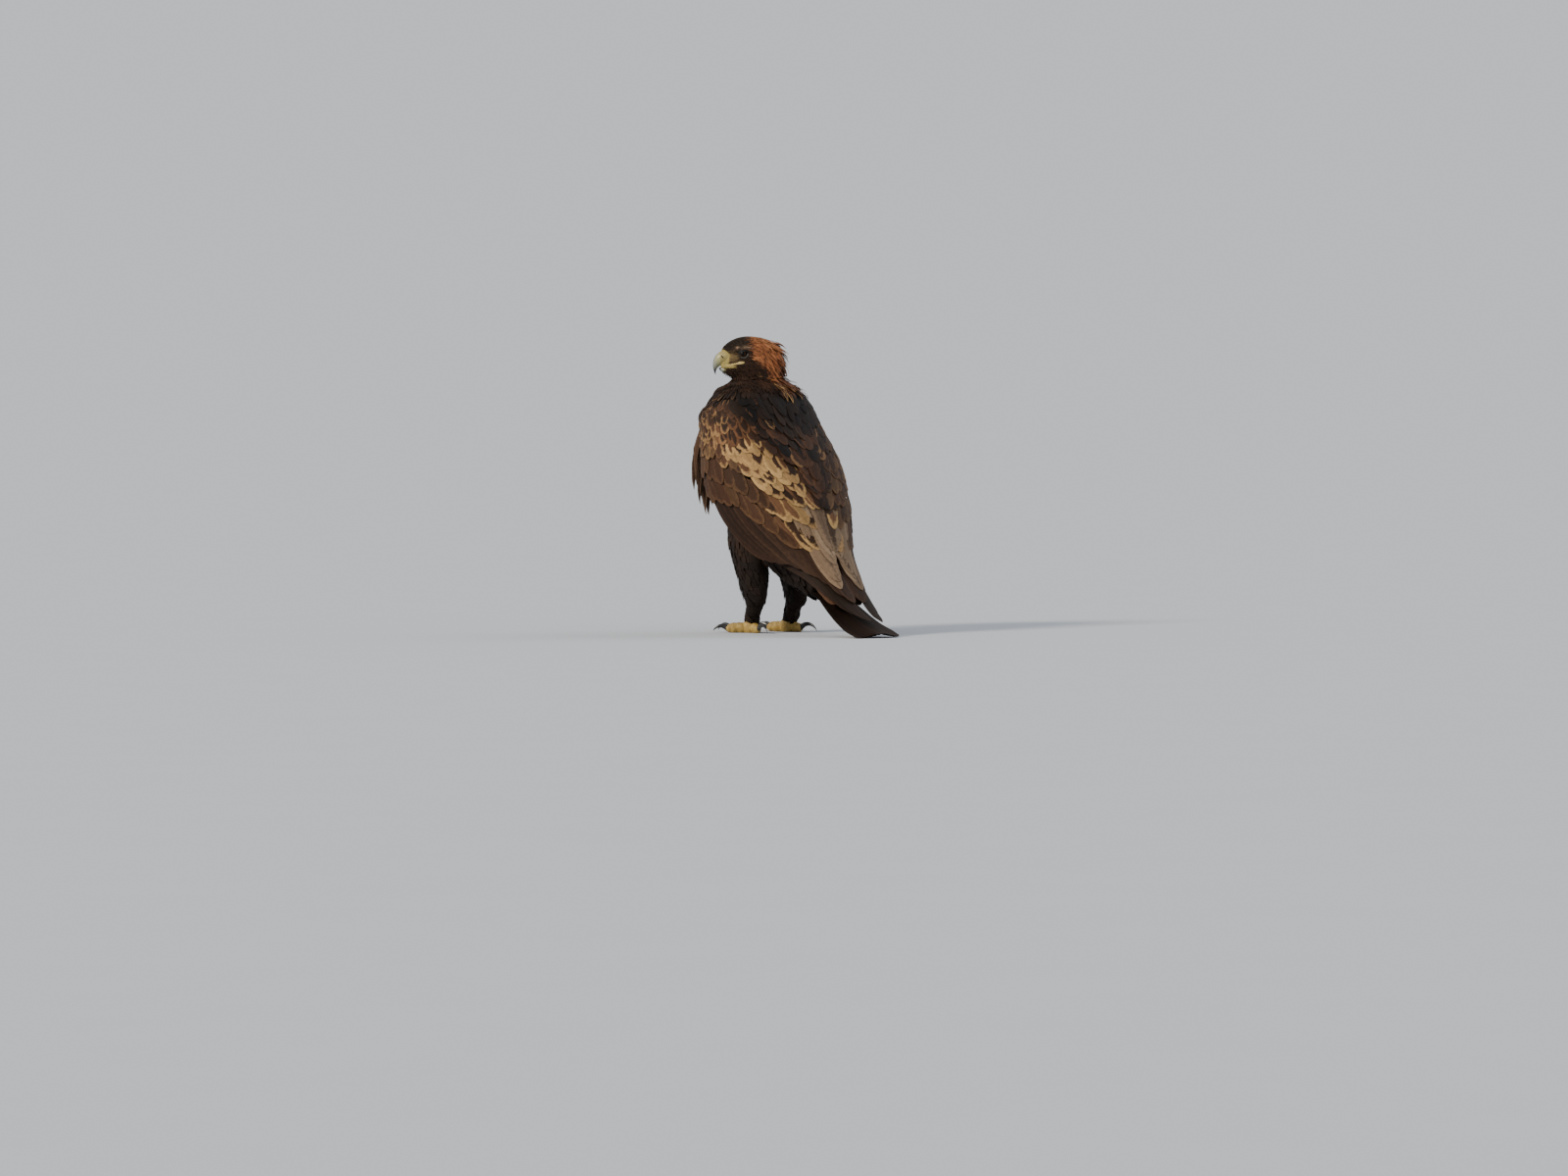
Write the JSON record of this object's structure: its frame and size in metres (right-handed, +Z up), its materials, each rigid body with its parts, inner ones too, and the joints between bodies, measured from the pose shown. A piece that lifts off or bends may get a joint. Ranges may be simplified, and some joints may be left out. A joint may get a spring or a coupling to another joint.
{
  "type": "golden eagle",
  "caption": "Life-size golden eagle standing upright with folded wings and its head turned to its left, as a still museum-like model.",
  "frame": {"origin": "on the floor below the middle of the model's box", "axes": "+Z up, -Y the way the breast faces, +X the bird's own left side; the tail points to +Y"},
  "size_m": [0.29, 0.5052, 0.5798],
  "materials": {
    "plumage_gold": "matt rufous-gold feathers",
    "plumage_brown": "matt brown feathers with buff edges",
    "plumage_dark": "matt blackish-brown feathers",
    "cere_yellow": "waxy yellow bare skin",
    "bill_horn": "satin blue-grey to black horn",
    "eye_brown": "wet gloss dark brown",
    "foot_yellow": "scaly yellow skin",
    "talon_black": "glossy black horn"
  },
  "bodies": {
    "root": {"head": "plumage_gold", "neck": "plumage_gold", "torso": "plumage_brown", "wing_left": "plumage_brown", "wing_right": "plumage_brown", "tail": "plumage_dark", "thigh_left": "plumage_dark", "thigh_right": "plumage_dark", "tarsus_left": "plumage_dark", "tarsus_right": "plumage_dark", "eye_left": "eye_brown", "eye_right": "eye_brown", "cere": "cere_yellow", "bill_upper": "bill_horn", "bill_lower": "bill_horn", "foot_left": "foot_yellow", "foot_right": "foot_yellow", "talon_left_hind": "talon_black", "talon_left_inner": "talon_black", "talon_left_middle": "talon_black", "talon_left_outer": "talon_black", "talon_right_hind": "talon_black", "talon_right_inner": "talon_black", "talon_right_middle": "talon_black", "talon_right_outer": "talon_black"}
  },
  "joints": []
}
